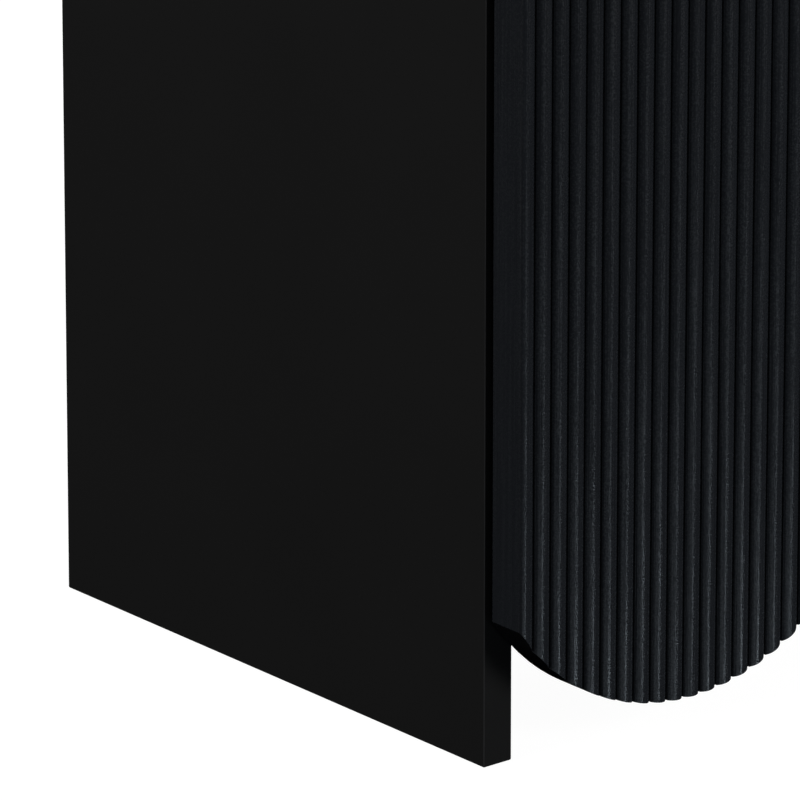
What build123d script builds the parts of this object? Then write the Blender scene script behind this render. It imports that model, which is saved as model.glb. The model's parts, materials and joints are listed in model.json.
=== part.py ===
from build123d import *
import os
from math import cos, radians, sin

# Reeded sideboard, in millimetres: X runs along the width, the doors face -Y and the floor is at Z = 0.
# The origin is the middle of the footprint.

# Carcass
width = 1020
depth = 400
height = 800
board = 20
arris = 1.0
bottom_rise = 92
back_thickness = 5
back_play = 0.5
rabbet = 10
foot_front = -110
foot_back = 150

# Doors
door_count = 4
door_thickness = 26
door_air = 2
side_reveal = 3
door_gap = 4
top_gap = 4
arch_low = 19.5
arch_rise = 66.5
reed_count = 19
reed_pitch = 12.1
reed_depth = 2.6
slit_width = 1.2
slit_depth = 1.0
shoulder = 3.5
front_round = 3.0
back_round = 2.0

# Gooseneck hinges: u runs from a door's hinge edge to its free edge, v from its back face into the cabinet
hinge_heights = (185, 690)
pin_u = 9
pin_v = -18.2
pin_radius = 1.25
knuckle_radius = 2.5
running_gap = 0.05
arm_thickness = 2.5
arm_height = 14
arm_reach = 21
arm_angle = 3
arm_inset = 9
arm_screw_rise = 13
plate_length = 44
plate_height = 40
cup_low_u = 3.2
cup_high_u = 34.5
cup_depth = 21.7
cup_height = 19
cup_wall = 1.0
cup_floor = 0.7
cup_round = 4
pin_height = 18
flange_height = 56
flange_thickness = 1.2
flange_screw_rise = 20

# Screws
screw_radius = 1.6
screw_head = 3.2
head_height = 2
slot_length = 3.6
slot_width = 1
slot_depth = 1
cup_screw_length = 11
arm_screw_length = 9
back_screw_length = 13
latch_screw_length = 10

# Screws round the edges of the back panels: their rows' starts and pitches
back_screw_inset = 5
side_screws_low = 140
middle_screws_low = 215
upright_screw_pitch = 150
rail_screws_x = 120
rail_screw_pitch = 130

# Push latches, under the top panel by each door's free edge
latch_inset = 18
latch_width = 16
latch_height = 24
latch_round = 2
latch_ear = 9
latch_ear_width = 12
latch_ear_height = 3
latch_drop = 15
latch_length = 56
latch_front = 10
plunger_radius = 4
plunger_length = 40
plunger_air = 0.4
bore_play = 0.2
bore_depth = 46
magnet_length = 2
strike_radius = 8
strike_thickness = 1

# Shelves, shelf pins and their rows of holes
shelf_thickness = 16
shelf_depth = 330
shelf_side_gap = 1
pin_length = 9
pin_hole_radius = 2.5
pin_hole_depth = 8.5
pin_hole_pitch = 32
pin_hole_count = 7
pin_row_low = 352
shelf_row = 3
pin_rows_y = (-122, 130)

# Knock-down fittings
cam_radius = 7.5
cam_depth = 12.5
cam_reach = 34
cam_play = 0.1
cam_slot_length = 8
cam_slot_width = 1.4
cam_slot_depth = 1.5
bolt_radius = 3
bolt_neck = 2
bolt_bore = 4
bolt_bite = 10
bolt_head = 3.4
bolt_head_length = 7
dowel_radius = 4
dowel_chamfer = 0.8
dowel_bite = 10
dowel_reach = 20
cam_rows_y = (-100, 130)
dowel_rows_y = (-64, 94)

# Derived places
half = width / 2
front = -depth / 2
back = depth / 2
door_back = front + door_thickness
carcass_front = door_back + door_air
under_top = height - board
bottom_top = bottom_rise + board
door_top = under_top - top_gap
door_width = (width - 2 * side_reveal - (door_count - 1) * door_gap) / door_count
border = (door_width - reed_count * reed_pitch) / 2
inner_back = back - back_thickness
divider_height = under_top - bottom_top
shelf_z = pin_row_low + shelf_row * pin_hole_pitch + pin_hole_radius
latch_z = under_top - latch_drop
plunger_tip = door_back + plunger_air
arm_screw_v = arm_inset + plate_length / 2
latch_body_y = carcass_front + latch_front + latch_length / 2
corner_u = pin_u + arm_reach * cos(radians(arm_angle))
corner_v = pin_v + arm_reach * sin(radians(arm_angle))
cup_mid_u = (cup_low_u + cup_high_u) / 2
cup_width = cup_high_u - cup_low_u
back_width = half - board + rabbet - 2 * back_play
back_height = under_top + rabbet - bottom_rise - back_play
shelf_width = (width - 3 * board) / 2 - 2 * shelf_side_gap

low_z = (Align.CENTER, Align.CENTER, Align.MIN)

os.makedirs("parts", exist_ok=True)


def save(part, name):
    part.label = name
    export_step(part, f"parts/{name}.step")


def door_edge(k):
    """X of door k's hinge edge, and +1 or -1 for the way its u axis runs along X."""
    left = -half + side_reveal + k * (door_width + door_gap)
    return (left, 1) if k % 2 == 0 else (left + door_width, -1)


def at(k, u, v, z):
    """The place u, v, z of door k's hinge frame, in the sideboard's frame."""
    edge, way = door_edge(k)
    return (edge + way * u, door_back + v, z)


def wall_u(k):
    """u of the upright board's face that carries door k's hinges."""
    outer = k in (0, door_count - 1)
    return board - side_reveal if outer else (board - door_gap) / 2


# Knock-down joints. Each plane stands on the seam: Z points into the board that holds the cam,
# and X points into that board from the face that the cam is let in from.
def seam(x, y, z, into, cam_side):
    return Plane(origin=(x, y, z), x_dir=cam_side, z_dir=into)


def seams(y):
    mid_bottom = bottom_rise + board / 2
    mid_side = half - board / 2
    up = (0, 0, 1)
    down = (0, 0, -1)
    right = (1, 0, 0)
    left = (-1, 0, 0)
    return [
        seam(-half + board, y, mid_bottom, right, up),
        seam(half - board, y, mid_bottom, left, up),
        seam(-mid_side, y, under_top, down, left),
        seam(mid_side, y, under_top, down, right),
        seam(0, y, under_top, down, right),
        seam(0, y, bottom_top, up, right),
        seam(0, y, bottom_rise, down, right),
    ]


cam_seams = [plane for y in cam_rows_y for plane in seams(y)]
dowel_seams = [plane for y in dowel_rows_y for plane in seams(y)]


def cut_fittings():
    """Cuts the holes for cam bolts, cams and dowels out of the board being built."""
    with Locations(*[Location(plane) for plane in cam_seams]):
        with Locations((0, 0, -bolt_bite)):
            Cylinder(bolt_radius, bolt_bite, align=low_z, mode=Mode.SUBTRACT)
        Cylinder(bolt_bore, cam_reach, align=low_z, mode=Mode.SUBTRACT)
        with Locations((cam_depth / 2 - board / 2, 0, cam_reach)):
            Cylinder(cam_radius, cam_depth, rotation=(0, 90, 0), mode=Mode.SUBTRACT)
    with Locations(*[Location(plane) for plane in dowel_seams]):
        with Locations((0, 0, -dowel_bite)):
            Cylinder(dowel_radius, dowel_bite + dowel_reach, align=low_z, mode=Mode.SUBTRACT)


# Shelf pins stand on the uprights' faces that look into a bay: X of the face, and the way into the wood
pin_faces = [(-half + board, -1), (-board / 2, 1), (board / 2, -1), (half - board, 1)]


def cut_pin_holes():
    """Cuts the rows of shelf pin holes out of the upright being built."""
    heights = [pin_row_low + i * pin_hole_pitch for i in range(pin_hole_count)]
    mids = [x + way * pin_hole_depth / 2 for x, way in pin_faces]
    spots = [(x, y, z) for x in mids for y in pin_rows_y for z in heights]
    with Locations(*spots):
        Cylinder(pin_hole_radius, pin_hole_depth, rotation=(0, 90, 0), mode=Mode.SUBTRACT)


# Two screws hold each hinge arm's plate on its upright
def arm_screw_places(k):
    """Planes on the upright's face at door k's arm screws, with Z pointing into the cabinet."""
    inwards = (door_edge(k)[1], 0, 0)
    heights = [z + side * arm_screw_rise for z in hinge_heights for side in (-1, 1)]
    spots = [at(k, wall_u(k), arm_screw_v, z) for z in heights]
    return [Plane(origin=spot, x_dir=(0, 0, 1), z_dir=inwards) for spot in spots]


arm_screw_planes = [plane for k in range(door_count) for plane in arm_screw_places(k)]


def cut_arm_screw_holes():
    with Locations(*[Location(plane) for plane in arm_screw_planes]):
        Cylinder(screw_radius, 2 * arm_screw_length, mode=Mode.SUBTRACT)


# Screws round the edges of the two back panels
def back_screw_spots():
    """X and Z of the screws in the back's right half."""
    outer_x = half - board + rabbet - back_screw_inset
    outer = [(outer_x, side_screws_low + i * upright_screw_pitch) for i in range(5)]
    middle = [(back_screw_inset, middle_screws_low + i * upright_screw_pitch) for i in range(4)]
    rails = (bottom_rise + back_screw_inset, under_top + rabbet - back_screw_inset)
    across = [(rail_screws_x + i * rail_screw_pitch, z) for i in range(3) for z in rails]
    return outer + middle + across


back_screw_planes = [
    Plane(origin=(side * x, back, z), z_dir=(0, 1, 0)) for side in (-1, 1) for x, z in back_screw_spots()
]


def cut_back_screw_holes():
    with Locations(*[Location(plane) for plane in back_screw_planes]):
        with Locations((0, 0, -back_screw_length)):
            Cylinder(screw_radius, back_screw_length, align=low_z, mode=Mode.SUBTRACT)
        with Locations((0, 0, -screw_radius)):
            Cone(screw_radius, screw_head, screw_radius, align=low_z, mode=Mode.SUBTRACT)


# Latches: the bay's middle lies between the free edges of its two doors
def latch_place(k):
    return at(k, door_width - latch_inset, 0, latch_z)


def latch_screw_spots(z):
    middles = [latch_place(k)[0] for k in range(door_count)]
    places = [latch_body_y + end * (latch_length + latch_ear) / 2 for end in (-1, 1)]
    return [(x, y, z) for x in middles for y in places]


def cut_latch_screw_holes():
    with Locations(*latch_screw_spots(under_top - latch_ear_height)):
        Cylinder(screw_radius, latch_ear_height + latch_screw_length, align=low_z, mode=Mode.SUBTRACT)


# Carcass boards
def side_panel(side):
    with BuildPart() as panel:
        with BuildSketch(Plane.XY):
            with Locations((side * (half - board / 2), (carcass_front + back) / 2)):
                Rectangle(board, back - carcass_front)
        extrude(amount=under_top)
        seen = panel.edges().filter_by(Axis.Z) + panel.faces().sort_by(Axis.Z)[0].edges()
        fillet(seen, arris)
        with Locations((side * (half - board), back, bottom_rise)):
            Box(2 * rabbet, 2 * back_thickness, height, align=low_z, mode=Mode.SUBTRACT)
        cut_fittings()
        cut_pin_holes()
        cut_arm_screw_holes()
        cut_back_screw_holes()
    return panel.part


save(side_panel(-1), "left_side_panel")
save(side_panel(1), "right_side_panel")

with BuildPart() as top_panel:
    with Locations((0, 0, under_top)):
        Box(width, depth, board, align=low_z)
    fillet(top_panel.edges(), arris)
    with Locations((0, back, under_top)):
        Box(width - 2 * board + 2 * rabbet, 2 * back_thickness, 2 * rabbet, mode=Mode.SUBTRACT)
    cut_fittings()
    cut_back_screw_holes()
    cut_latch_screw_holes()
save(top_panel.part, "top_panel")

with BuildPart() as bottom_panel:
    with BuildSketch(Plane.XY.offset(bottom_rise)):
        with Locations((0, (carcass_front + inner_back) / 2)):
            Rectangle(width - 2 * board, inner_back - carcass_front)
    extrude(amount=board)
    cut_fittings()
    cut_back_screw_holes()
save(bottom_panel.part, "bottom_panel")

with BuildPart() as centre_divider:
    with BuildSketch(Plane.XY.offset(bottom_top)):
        with Locations((0, (carcass_front + inner_back) / 2)):
            Rectangle(board, inner_back - carcass_front)
    extrude(amount=divider_height)
    cut_fittings()
    cut_pin_holes()
    cut_arm_screw_holes()
    cut_back_screw_holes()
save(centre_divider.part, "centre_divider")

with BuildPart() as centre_foot:
    with BuildSketch(Plane.XY):
        with Locations((0, (foot_front + foot_back) / 2)):
            Rectangle(board, foot_back - foot_front)
    extrude(amount=bottom_rise)
    fillet(centre_foot.edges().filter_by(Axis.Z), arris)
    cut_fittings()
save(centre_foot.part, "centre_foot")

for side, name in ((-1, "back_panel_left"), (1, "back_panel_right")):
    with BuildPart() as back_panel:
        with Locations((side * (back_width / 2 + back_play), back - back_thickness / 2, bottom_rise)):
            Box(back_width, back_thickness, back_height, align=low_z)
        cut_back_screw_holes()
    save(back_panel.part, name)

for side, name in ((-1, "shelf_left"), (1, "shelf_right")):
    with BuildPart() as shelf:
        with Locations((side * (shelf_width / 2 + board / 2 + shelf_side_gap), 0, shelf_z)):
            Box(shelf_width, shelf_depth, shelf_thickness, align=low_z)
        fillet(shelf.edges(), arris)
    save(shelf.part, name)

with BuildPart() as shelf_pins:
    pin_z = pin_row_low + shelf_row * pin_hole_pitch
    for x, way in pin_faces:
        with Locations(*[(x, y, pin_z) for y in pin_rows_y]):
            with Locations((way * (pin_hole_depth - pin_length) / 2, 0, 0)):
                Cylinder(pin_hole_radius, pin_hole_depth + pin_length, rotation=(0, 90, 0))
save(shelf_pins.part, "shelf_pins")

# Fasteners, one node for each kind
with BuildPart() as cam_bolts:
    with Locations(*[Location(plane) for plane in cam_seams]):
        with Locations((0, 0, -bolt_bite)):
            Cylinder(bolt_radius, bolt_bite, align=low_z)
        Cylinder(bolt_neck, cam_reach, align=low_z)
        with Locations((0, 0, cam_reach - bolt_head_length)):
            Cylinder(bolt_head, bolt_head_length, align=low_z)
save(cam_bolts.part, "cam_bolts")

with BuildPart() as cam_locks:
    with Locations(*[Location(plane) for plane in cam_seams]):
        with Locations((cam_depth / 2 - board / 2, 0, cam_reach)):
            Cylinder(cam_radius - cam_play, cam_depth, rotation=(0, 90, 0))
        with Locations((0, 0, cam_reach - 2 * cam_radius)):
            Cylinder(bolt_bore, 2 * cam_radius + bolt_head_length, align=low_z, mode=Mode.SUBTRACT)
        with Locations((-board / 2, 0, cam_reach)):
            for turn in (0, 90):
                size = (2 * cam_slot_depth, cam_slot_width, cam_slot_length)
                Box(*size, rotation=(turn, 0, 0), mode=Mode.SUBTRACT)
save(cam_locks.part, "cam_locks")

with BuildPart() as dowels:
    with Locations(*[Location(plane) for plane in dowel_seams]):
        with Locations((0, 0, -dowel_bite)):
            Cylinder(dowel_radius, dowel_bite + dowel_reach, align=low_z)
    chamfer(dowels.edges().filter_by(GeomType.CIRCLE), dowel_chamfer)
save(dowels.part, "dowels")


def cross_slot():
    """Cuts a cross recess in a screw head whose face is at the local Z = 0."""
    for turn in (0, 90):
        Box(slot_length, slot_width, 2 * slot_depth, rotation=(0, 0, turn), mode=Mode.SUBTRACT)


with BuildPart() as back_screws:
    with Locations(*[Location(plane) for plane in back_screw_planes]):
        with Locations((0, 0, -back_screw_length)):
            Cylinder(screw_radius, back_screw_length - screw_radius, align=low_z)
        with Locations((0, 0, -screw_radius)):
            Cone(screw_radius, screw_head, screw_radius, align=low_z)
        cross_slot()
save(back_screws.part, "back_panel_screws")

with BuildPart() as arm_screws:
    with Locations(*[Location(plane) for plane in arm_screw_planes]):
        with Locations((0, 0, -arm_screw_length)):
            Cylinder(screw_radius, arm_screw_length + arm_thickness, align=low_z)
        with Locations((0, 0, arm_thickness)):
            Cylinder(screw_head, head_height, align=low_z)
        with Locations((0, 0, arm_thickness + head_height)):
            cross_slot()
save(arm_screws.part, "hinge_arm_screws")

ear_face = under_top - latch_ear_height
with BuildPart() as latch_screws:
    with Locations(*latch_screw_spots(ear_face)):
        Cylinder(screw_radius, latch_ear_height + latch_screw_length, align=low_z)
        with Locations((0, 0, -head_height)):
            Cylinder(screw_head, head_height, align=low_z)
            cross_slot()
save(latch_screws.part, "latch_screws")


# Hinge arm: a bent steel strap with a knuckle at the pin and a plate on the upright
def hinge_arms(k):
    plate_u = wall_u(k) + arm_thickness / 2
    bends = [(pin_u, pin_v), (corner_u, corner_v), (corner_u, arm_inset), (plate_u, arm_inset)]
    strap_end = (plate_u, arm_inset + plate_length)
    path = [at(k, u, v, 0)[:2] for u, v in bends + [strap_end]]
    with BuildPart() as arms:
        for z in hinge_heights:
            with BuildSketch(Plane.XY.offset(z - arm_height / 2)):
                with BuildLine():
                    Polyline(path)
                trace(line_width=arm_thickness)
                with Locations(path[0]):
                    Circle(knuckle_radius)
                    Circle(pin_radius + running_gap, mode=Mode.SUBTRACT)
            extrude(amount=arm_height)
            with Locations(at(k, plate_u, arm_screw_v, z)):
                Box(arm_thickness, plate_length, plate_height)
        cut_arm_screw_holes()
    return arms.part


# Hinge cup: a zinc box let into the door's back, with a flange that lies flush
def cup_centres(k):
    """X and Z of door k's two cups."""
    return [(at(k, cup_mid_u, 0, z)[0], z) for z in hinge_heights]


def cup_screw_planes(k):
    """Planes on the door's back face at door k's cup screws, with Z pointing into the cabinet."""
    heights = [z + side * flange_screw_rise for z in hinge_heights for side in (-1, 1)]
    return [Plane(origin=at(k, cup_mid_u, 0, z), z_dir=(0, 1, 0)) for z in heights]


def cup_screw_shape(k, mode):
    with Locations(*[Location(plane) for plane in cup_screw_planes(k)]):
        with Locations((0, 0, -cup_screw_length)):
            Cylinder(screw_radius, cup_screw_length - flange_thickness, align=low_z, mode=mode)
        with Locations((0, 0, -flange_thickness)):
            Cone(screw_radius, screw_head, flange_thickness, align=low_z, mode=mode)


def hinge_cups(k):
    with BuildPart() as cups:
        for outline_height, amount in ((cup_height, cup_depth), (flange_height, flange_thickness)):
            with BuildSketch(Plane.XZ.offset(-door_back)):
                with Locations(*cup_centres(k)):
                    RectangleRounded(cup_width, outline_height, cup_round)
            extrude(amount=amount)
        with BuildSketch(Plane.XZ.offset(-door_back)):
            with Locations(*cup_centres(k)):
                RectangleRounded(cup_width - 2 * cup_wall, cup_height - 4 * cup_wall, cup_wall)
        extrude(amount=cup_depth - cup_floor, mode=Mode.SUBTRACT)
        with Locations(*[at(k, pin_u, pin_v, z) for z in hinge_heights]):
            Cylinder(pin_radius, pin_height, mode=Mode.SUBTRACT)
        cup_screw_shape(k, Mode.SUBTRACT)
    return cups.part


def hinge_pins(k):
    with BuildPart() as pins:
        with Locations(*[at(k, pin_u, pin_v, z) for z in hinge_heights]):
            Cylinder(pin_radius, pin_height)
    return pins.part


def cup_screws(k):
    with BuildPart() as screws:
        cup_screw_shape(k, Mode.ADD)
        with Locations(*[Location(plane) for plane in cup_screw_planes(k)]):
            cross_slot()
    return screws.part


# Door: a thick slab, reeded on its face, with a bottom edge cut to one arc
def draw_plan(left):
    """Draws the door's plan, with a fine slit at each valley, between its square back corners."""
    right = left + door_width
    valley = front + reed_depth
    floor = valley + slit_depth
    first = left + border
    Line((left, front), (left + shoulder, front))
    TangentArc((left + shoulder, front), (first - slit_width / 2, valley), tangent=(1, 0))
    for reed in range(reed_count + 1):
        x = first + reed * reed_pitch
        low, high = x - slit_width / 2, x + slit_width / 2
        Polyline((low, valley), (low, floor), (high, floor), (high, valley))
        if reed < reed_count:
            ThreePointArc((high, valley), (x + reed_pitch / 2, front), (low + reed_pitch, valley))
    TangentArc((right - shoulder, front), (high, valley), tangent=(-1, 0))
    Polyline((right - shoulder, front), (right, front), (right, door_back))
    Polyline((right, door_back), (left, door_back), (left, front))


def door_panel(k):
    edge, way = door_edge(k)
    left = min(edge, edge + way * door_width)
    right = left + door_width
    corner_z = arch_low + arch_rise
    with BuildPart() as door:
        with BuildSketch(Plane.XY.offset(arch_low)) as plan:
            with BuildLine():
                draw_plan(left)
            make_face()
            corners = plan.vertices().group_by(Axis.X)
            fillet([corners[0].sort_by(Axis.Y)[0], corners[-1].sort_by(Axis.Y)[0]], front_round)
        extrude(amount=door_top - arch_low)
        with BuildSketch(Plane.XZ.offset(-door_back)):
            with BuildLine():
                Polyline((left, corner_z), (left, door_top), (right, door_top), (right, corner_z))
                ThreePointArc((left, corner_z), ((left + right) / 2, arch_low), (right, corner_z))
            make_face()
        extrude(amount=door_thickness, mode=Mode.INTERSECT)
        fillet(door.faces().sort_by(Axis.Y)[-1].outer_wire().edges(), back_round)
        for outline_height, amount in ((cup_height, cup_depth), (flange_height, flange_thickness)):
            with BuildSketch(Plane.XZ.offset(-door_back)):
                with Locations(*cup_centres(k)):
                    RectangleRounded(cup_width, outline_height, cup_round)
            extrude(amount=amount, mode=Mode.SUBTRACT)
        cup_screw_shape(k, Mode.SUBTRACT)
        with BuildSketch(Plane.XZ.offset(-door_back)):
            with Locations((latch_place(k)[0], latch_z)):
                Circle(strike_radius)
        extrude(amount=strike_thickness, mode=Mode.SUBTRACT)
    return door.part


def strike_plate(k):
    with BuildPart() as plate:
        with BuildSketch(Plane.XZ.offset(-door_back)):
            with Locations((latch_place(k)[0], latch_z)):
                Circle(strike_radius)
        extrude(amount=strike_thickness)
    return plate.part


# Push latch: a housing with two ears, and a plunger with a magnet at its tip
def latch_housing(k):
    x = latch_place(k)[0]
    with BuildPart() as housing:
        with Locations((x, latch_body_y, under_top - latch_height / 2)):
            Box(latch_width, latch_length, latch_height)
        fillet(housing.edges().filter_by(Axis.Y).group_by(Axis.Z)[0], latch_round)
        with Locations((x, latch_body_y, under_top - latch_ear_height)):
            Box(latch_ear_width, latch_length + 2 * latch_ear, latch_ear_height, align=low_z)
        with BuildSketch(Plane.XZ.offset(-(carcass_front + latch_front))):
            with Locations((x, latch_z)):
                Circle(plunger_radius + bore_play)
        extrude(amount=-bore_depth, mode=Mode.SUBTRACT)
        cut_latch_screw_holes()
    return housing.part


def latch_rod(k, tip, length):
    with BuildPart() as rod:
        with BuildSketch(Plane.XZ.offset(-tip)):
            with Locations((latch_place(k)[0], latch_z)):
                Circle(plunger_radius)
        extrude(amount=-length)
    return rod.part


for k in range(door_count):
    number = k + 1
    save(door_panel(k), f"door_{number}_panel")
    save(hinge_cups(k), f"door_{number}_hinge_cups")
    save(cup_screws(k), f"door_{number}_cup_screws")
    save(hinge_pins(k), f"door_{number}_hinge_pins")
    save(strike_plate(k), f"door_{number}_strike_plate")
    save(hinge_arms(k), f"door_{number}_hinge_arms")
    save(latch_housing(k), f"door_{number}_latch_housing")
    save(latch_rod(k, plunger_tip + magnet_length, plunger_length), f"door_{number}_latch_plunger")
    save(latch_rod(k, plunger_tip, magnet_length), f"door_{number}_latch_magnet")
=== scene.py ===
import json
from math import cos, radians, sin

import bpy
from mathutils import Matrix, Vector


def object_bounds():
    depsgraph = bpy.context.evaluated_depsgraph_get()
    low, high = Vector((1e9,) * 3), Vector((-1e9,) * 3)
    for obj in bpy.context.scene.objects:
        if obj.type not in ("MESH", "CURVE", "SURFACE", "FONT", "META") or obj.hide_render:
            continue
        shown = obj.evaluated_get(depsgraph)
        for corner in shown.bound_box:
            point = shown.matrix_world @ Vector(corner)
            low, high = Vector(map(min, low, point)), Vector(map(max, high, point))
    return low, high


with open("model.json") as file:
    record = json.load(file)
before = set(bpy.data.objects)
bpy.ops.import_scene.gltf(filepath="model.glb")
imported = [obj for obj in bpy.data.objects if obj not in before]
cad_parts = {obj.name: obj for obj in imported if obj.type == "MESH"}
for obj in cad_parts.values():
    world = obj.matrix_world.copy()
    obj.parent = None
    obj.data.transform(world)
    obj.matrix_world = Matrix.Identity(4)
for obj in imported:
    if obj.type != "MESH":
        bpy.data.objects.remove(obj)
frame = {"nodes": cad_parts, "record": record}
cad_low, cad_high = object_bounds()
nodes = frame["nodes"]
scene = bpy.context.scene

# The sideboard's box, in metres
left, front, floor_z = cad_low
right, back, top_z = cad_high
middle = Vector(((left + right) / 2, (front + back) / 2, (floor_z + top_z) / 2))

# Camera: a long lens, from the left and a little above, on the lower left front corner.
# Angles are in degrees, the lens in millimetres and the rest in metres.
CAMERA_AZIMUTH = -39.58
CAMERA_ELEVATION = 19.17
CAMERA_DISTANCE = 5.338
CAMERA_LENS = 450
CAMERA_REACH = 100
AIM_LEFT_OF_SIDE = 0.0828
AIM_HEIGHT = 0.2398


def direction(azimuth, elevation):
    """The unit vector towards an azimuth, 0 in front and 90 on the right, and an elevation, in degrees."""
    a, e = radians(azimuth), radians(elevation)
    return Vector((sin(a) * cos(e), -cos(a) * cos(e), sin(e)))


def look_at(obj, target):
    """Turns a camera or a light to face the target."""
    obj.rotation_euler = (target - obj.location).to_track_quat("-Z", "Y").to_euler()


def add_camera():
    data = bpy.data.cameras.new("camera")
    data.lens = CAMERA_LENS
    data.clip_end = CAMERA_REACH
    camera = bpy.data.objects.new("camera", data)
    scene.collection.objects.link(camera)
    aim = Vector((left - AIM_LEFT_OF_SIDE, front, floor_z + AIM_HEIGHT))
    camera.location = aim + direction(CAMERA_AZIMUTH, CAMERA_ELEVATION) * CAMERA_DISTANCE
    look_at(camera, aim)
    scene.camera = camera


# Materials
class Recipe:
    """One procedural material: a Principled shader, and short ways to add nodes that feed it."""

    def __init__(self, name, colour, roughness, metallic=0.0, specular=0.5):
        self.material = bpy.data.materials.new(name)
        self.material.use_nodes = True
        self.tree = self.material.node_tree
        self.shader = self.tree.nodes["Principled BSDF"]
        self.set(self.shader, {"Base Color": (*colour, 1), "Roughness": roughness, "Metallic": metallic,
                               "Specular IOR Level": specular})
        coordinates = self.node("ShaderNodeTexCoord")
        self.place = coordinates.outputs["Object"]
        self.facing = coordinates.outputs["Normal"]

    @staticmethod
    def set(node, values):
        for name, value in values.items():
            node.inputs[name].default_value = value

    def node(self, kind, **values):
        made = self.tree.nodes.new(kind)
        for name, value in values.items():
            setattr(made, name, value)
        return made

    def link(self, output, node, name):
        self.tree.links.new(output, node.inputs[name])

    def stretched(self, scale):
        """The object's place, multiplied along X, Y and Z."""
        mapping = self.node("ShaderNodeMapping")
        mapping.inputs["Scale"].default_value = scale
        self.link(self.place, mapping, "Vector")
        return mapping.outputs["Vector"]

    def noise(self, scale, detail=2.0, stretch=None):
        """Noise with this many features to the metre."""
        texture = self.node("ShaderNodeTexNoise")
        self.set(texture, {"Scale": scale, "Detail": detail})
        self.link(self.stretched(stretch) if stretch else self.place, texture, "Vector")
        return texture.outputs["Fac"]

    def cells(self, scale):
        """Rounded cells, this many to the metre."""
        texture = self.node("ShaderNodeTexVoronoi")
        texture.inputs["Scale"].default_value = scale
        self.link(self.place, texture, "Vector")
        return texture.outputs["Distance"]

    def ramp(self, value, low, high, low_out, high_out):
        """Maps low..high to low_out..high_out, held at both ends."""
        mapped = self.node("ShaderNodeMapRange")
        self.link(value, mapped, "Value")
        self.set(mapped, {"From Min": low, "From Max": high, "To Min": low_out, "To Max": high_out})
        return mapped.outputs["Result"]

    def blend(self, value, dark, light):
        """A colour between two, by value from 0 to 1. Each is three numbers or another blend's output."""
        mix = self.node("ShaderNodeMix", data_type="RGBA")
        self.link(value, mix, "Factor")
        for slot, colour in ((6, dark), (7, light)):
            if isinstance(colour, tuple):
                mix.inputs[slot].default_value = (*colour, 1)
            else:
                self.tree.links.new(colour, mix.inputs[slot])
        return mix.outputs[2]

    def arrises(self):
        """1 on rounded arrises and 0 on faces square to the axes."""
        size = self.node("ShaderNodeVectorMath", operation="ABSOLUTE")
        self.link(self.facing, size, "Vector")
        split = self.node("ShaderNodeSeparateXYZ")
        self.link(size.outputs["Vector"], split, "Vector")
        largest = split.outputs["X"]
        for axis in "YZ":
            higher = self.node("ShaderNodeMath", operation="MAXIMUM")
            self.tree.links.new(largest, higher.inputs[0])
            self.tree.links.new(split.outputs[axis], higher.inputs[1])
            largest = higher.outputs["Value"]
        return self.ramp(largest, 0.72, 0.96, 1, 0)

    def rise(self):
        """How far the surface faces up: 1 on a top, 0 on an upright face and -1 on an underside."""
        split = self.node("ShaderNodeSeparateXYZ")
        self.link(self.facing, split, "Vector")
        return split.outputs["Z"]

    def lift(self, value, mask, amount):
        """The value, plus amount where the mask is 1."""
        total = self.node("ShaderNodeMath", operation="MULTIPLY_ADD")
        self.tree.links.new(mask, total.inputs[0])
        total.inputs[1].default_value = amount
        self.tree.links.new(value, total.inputs[2])
        return total.outputs["Value"]

    def colour(self, output):
        self.link(output, self.shader, "Base Color")

    def roughness(self, output):
        self.link(output, self.shader, "Roughness")

    def bump(self, height, strength, distance):
        """Adds relief, with its full height in metres. Later calls lie on top of earlier ones."""
        bump = self.node("ShaderNodeBump")
        self.set(bump, {"Strength": strength, "Distance": distance})
        self.link(height, bump, "Height")
        normal = self.shader.inputs["Normal"]
        if normal.is_linked:
            self.link(normal.links[0].from_socket, bump, "Normal")
        self.link(bump.outputs["Normal"], self.shader, "Normal")


def matt_board():
    """Dead matt black laminate: almost no gloss, a faint cloud in its tone, and a painted highlight that
    lightens the arrises.
    """
    recipe = Recipe("matt_black_board", (0.0075, 0.0075, 0.0075), 0.85, specular=0.04)
    cloud = recipe.ramp(recipe.noise(9, 3), 0.3, 0.7, 0, 1)
    face = recipe.blend(cloud, (0.0072, 0.0072, 0.0072), (0.0078, 0.0078, 0.0078))
    # Painted highlight: the rounded arrises get a lighter colour in place of the thin line of light they
    # would catch.
    recipe.colour(recipe.blend(recipe.arrises(), face, (0.026, 0.026, 0.027)))
    recipe.roughness(recipe.ramp(recipe.noise(700), 0.3, 0.7, 0.78, 0.92))
    recipe.bump(recipe.noise(1500), 0.12, 0.0001)
    return recipe.material


def door_paint():
    """Slightly blue satin black lacquer: upright drag lines, fine speckle, dull top, and painted shade
    that darkens the underside.
    """
    recipe = Recipe("satin_black_paint", (0.0075, 0.0083, 0.01), 0.2, specular=0.3)
    speckle = recipe.ramp(recipe.noise(900, 1), 0.4, 0.62, 0, 1)
    drag = recipe.ramp(recipe.noise(1100, 2, stretch=(1, 1, 0.008)), 0.3, 0.7, 0, 1)
    rise = recipe.rise()
    painted_underside_shade = recipe.ramp(rise, -0.5, -0.3, 1, 0)
    top = recipe.ramp(rise, 0.3, 0.5, 0, 1)

    face = recipe.blend(drag, (0.0075, 0.0083, 0.0100), (0.0092, 0.0104, 0.0124))
    # Painted shade: faces that turn downwards are darkened to near black, in place of the shade under the
    # door's arched edge.
    recipe.colour(recipe.blend(painted_underside_shade, face, (0.0014, 0.0015, 0.0018)))
    sheen = recipe.lift(recipe.ramp(speckle, 0, 1, 0.25, 0.12), drag, 0.1)
    recipe.roughness(recipe.lift(sheen, top, 0.5))
    recipe.bump(drag, 1.0, 0.00006)
    recipe.bump(speckle, 0.5, 0.00004)
    return recipe.material


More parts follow.
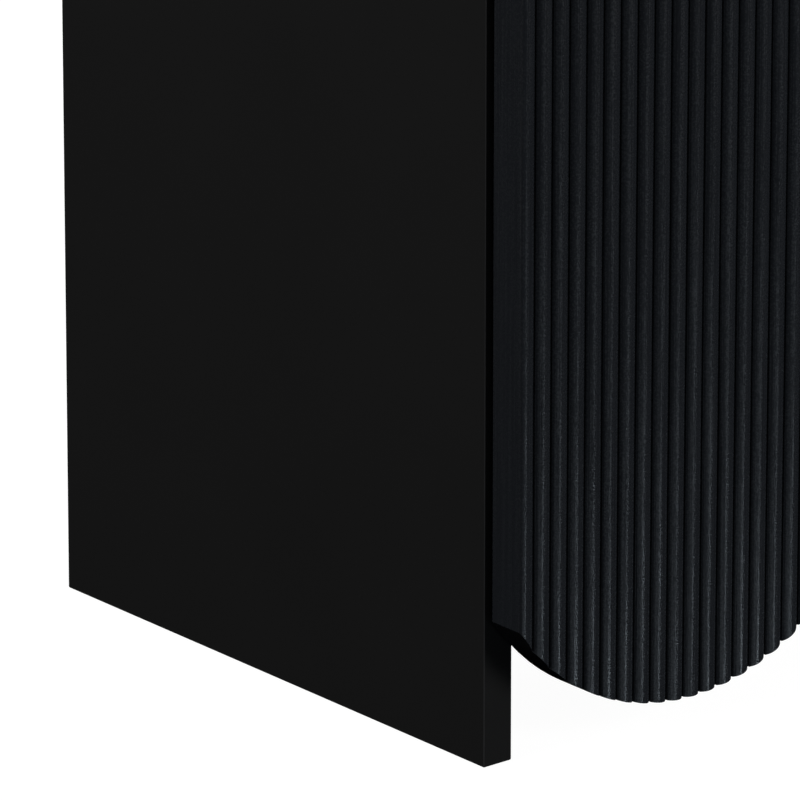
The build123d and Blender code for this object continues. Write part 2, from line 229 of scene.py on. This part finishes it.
def hardboard():
    """Thin black painted hardboard with a fine pressed texture."""
    recipe = Recipe("black_hardboard", (0.011, 0.011, 0.011), 0.8, specular=0.12)
    fibre = recipe.noise(260, 4, stretch=(1, 1, 1.6))
    tone = recipe.ramp(fibre, 0.3, 0.7, 0, 1)
    recipe.colour(recipe.blend(tone, (0.009, 0.009, 0.009), (0.016, 0.0155, 0.015)))
    recipe.bump(fibre, 0.4, 0.0004)
    return recipe.material


def metal(name, colour, roughness, streak):
    """Plated or cast metal: a clouded tone, and fine scratches drawn out by streak in gloss and relief."""
    recipe = Recipe(name, colour, roughness, metallic=1.0)
    cloud = recipe.ramp(recipe.noise(160, 3), 0.3, 0.7, 0, 1)
    dark = tuple(0.82 * c for c in colour)
    recipe.colour(recipe.blend(cloud, dark, colour))
    scratch = recipe.noise(900, 2, stretch=streak)
    recipe.roughness(recipe.ramp(scratch, 0.3, 0.7, roughness - 0.08, roughness + 0.1))
    recipe.bump(scratch, 0.15, 0.00005)
    return recipe.material


def plastic(name, colour, roughness):
    """Moulded plastic with a spark-eroded grain."""
    recipe = Recipe(name, colour, roughness, specular=0.4)
    recipe.roughness(recipe.ramp(recipe.noise(80), 0.3, 0.7, roughness - 0.05, roughness + 0.06))
    recipe.bump(recipe.cells(1400), 0.2, 0.00008)
    return recipe.material


def beech():
    """Raw beech, with fine grain drawn out along X and Z, the ways that the dowels lie."""
    recipe = Recipe("beech", (0.52, 0.35, 0.2), 0.6)
    grain = recipe.noise(500, 4, stretch=(0.2, 1, 0.2))
    tone = recipe.ramp(grain, 0.35, 0.65, 0, 1)
    recipe.colour(recipe.blend(tone, (0.42, 0.27, 0.15), (0.6, 0.43, 0.27)))
    recipe.bump(grain, 0.3, 0.0001)
    return recipe.material


EVEN = (1, 1, 1)
ALONG_X = (0.05, 1, 1)
materials = {
    "black_board": matt_board(),
    "satin_black_paint": door_paint(),
    "back_board": hardboard(),
    "beech": beech(),
    "zinc_steel": metal("zinc_steel", (0.56, 0.57, 0.58), 0.34, EVEN),
    "nickel_steel": metal("nickel_steel", (0.62, 0.60, 0.56), 0.28, ALONG_X),
    "cast_zinc": metal("cast_zinc", (0.46, 0.46, 0.46), 0.48, EVEN),
    "latch_plastic": plastic("latch_plastic", (0.025, 0.025, 0.026), 0.5),
    "plunger_plastic": plastic("plunger_plastic", (0.3, 0.3, 0.3), 0.45),
    "magnet": metal("magnet", (0.42, 0.42, 0.44), 0.25, EVEN),
}


def dress_nodes():
    """Gives every CAD node the material of its slot in the record."""
    for entry in frame["record"]["subparts"]:
        mesh = nodes[entry["node"]].data
        mesh.materials.clear()
        mesh.materials.append(materials[entry["material_slot"]])


# Stage: a pale floor, a dim world and softboxes. Sizes are in metres.
FLOOR_SIZE = 200
FLOOR_DROP = 0.0003
FLOOR_GLOW = 0.965
WORLD_GLOW = 0.2
WORLD_FADE = (-0.1, 0.3)
COOL = (0.78, 0.9, 1)


def add_floor():
    """A flat white floor that throws no light on the sideboard and lets the lights below it through."""
    half = FLOOR_SIZE / 2
    z = floor_z - FLOOR_DROP
    corners = [(-half, -half, z), (half, -half, z), (half, half, z), (-half, half, z)]
    mesh = bpy.data.meshes.new("floor")
    mesh.from_pydata(corners, [], [(0, 1, 2, 3)])
    floor = bpy.data.objects.new("floor", mesh)
    scene.collection.objects.link(floor)
    floor.visible_diffuse = False
    floor.visible_glossy = False
    floor.visible_shadow = False
    recipe = Recipe("pale_floor", (0.1, 0.1, 0.1), 1.0, specular=0.0)
    recipe.set(recipe.shader, {"Emission Color": (1, 1, 1, 1), "Emission Strength": FLOOR_GLOW})
    mesh.materials.append(recipe.material)


def add_softbox(name, azimuth, elevation, distance, size, power, colour=(1, 1, 1)):
    """An area light that faces the sideboard's middle, placed by angles in degrees. Power is in watts."""
    data = bpy.data.lights.new(name, "AREA")
    data.shape = "RECTANGLE"
    data.size, data.size_y = size
    data.energy = power
    data.color = colour
    light = bpy.data.objects.new(name, data)
    scene.collection.objects.link(light)
    light.location = middle + direction(azimuth, elevation) * distance
    light.visible_camera = False
    look_at(light, middle)


def add_world():
    """Dim white light that fades in about the horizon, and nothing from further below."""
    world = bpy.data.worlds.new("studio")
    world.use_nodes = True
    tree = world.node_tree
    background = tree.nodes["Background"]
    direction_in = tree.nodes.new("ShaderNodeTexCoord").outputs["Generated"]
    split = tree.nodes.new("ShaderNodeSeparateXYZ")
    tree.links.new(direction_in, split.inputs["Vector"])
    rise = tree.nodes.new("ShaderNodeMapRange")
    tree.links.new(split.outputs["Z"], rise.inputs["Value"])
    rise.inputs["From Min"].default_value, rise.inputs["From Max"].default_value = WORLD_FADE
    rise.inputs["To Max"].default_value = WORLD_GLOW
    tree.links.new(rise.outputs["Result"], background.inputs["Strength"])
    background.inputs["Color"].default_value = (1, 1, 1, 1)
    scene.world = world


def add_lights():
    """Four soft boxes round the sides and one above, and two below that draw the lines on the reeds."""
    add_softbox("key", 20, 13, 3.4, (1.4, 1.2), 95)
    add_softbox("overhead", 0, 89, 2.6, (1.6, 1.2), 60)
    add_softbox("left_side", -98, 14, 3.0, (1.6, 1.2), 54)
    add_softbox("right_side", 98, 14, 3.0, (1.6, 1.2), 54)
    add_softbox("rear", 180, 14, 3.0, (1.6, 1.2), 54)
    add_softbox("front_strip", 9, -33, 2.75, (0.1, 0.5), 7, COOL)
    add_softbox("left_band", -22, -33, 2.75, (1.4, 0.5), 4.4, COOL)


add_camera()
dress_nodes()
add_floor()
add_world()
add_lights()
scene.view_settings.view_transform = "Standard"
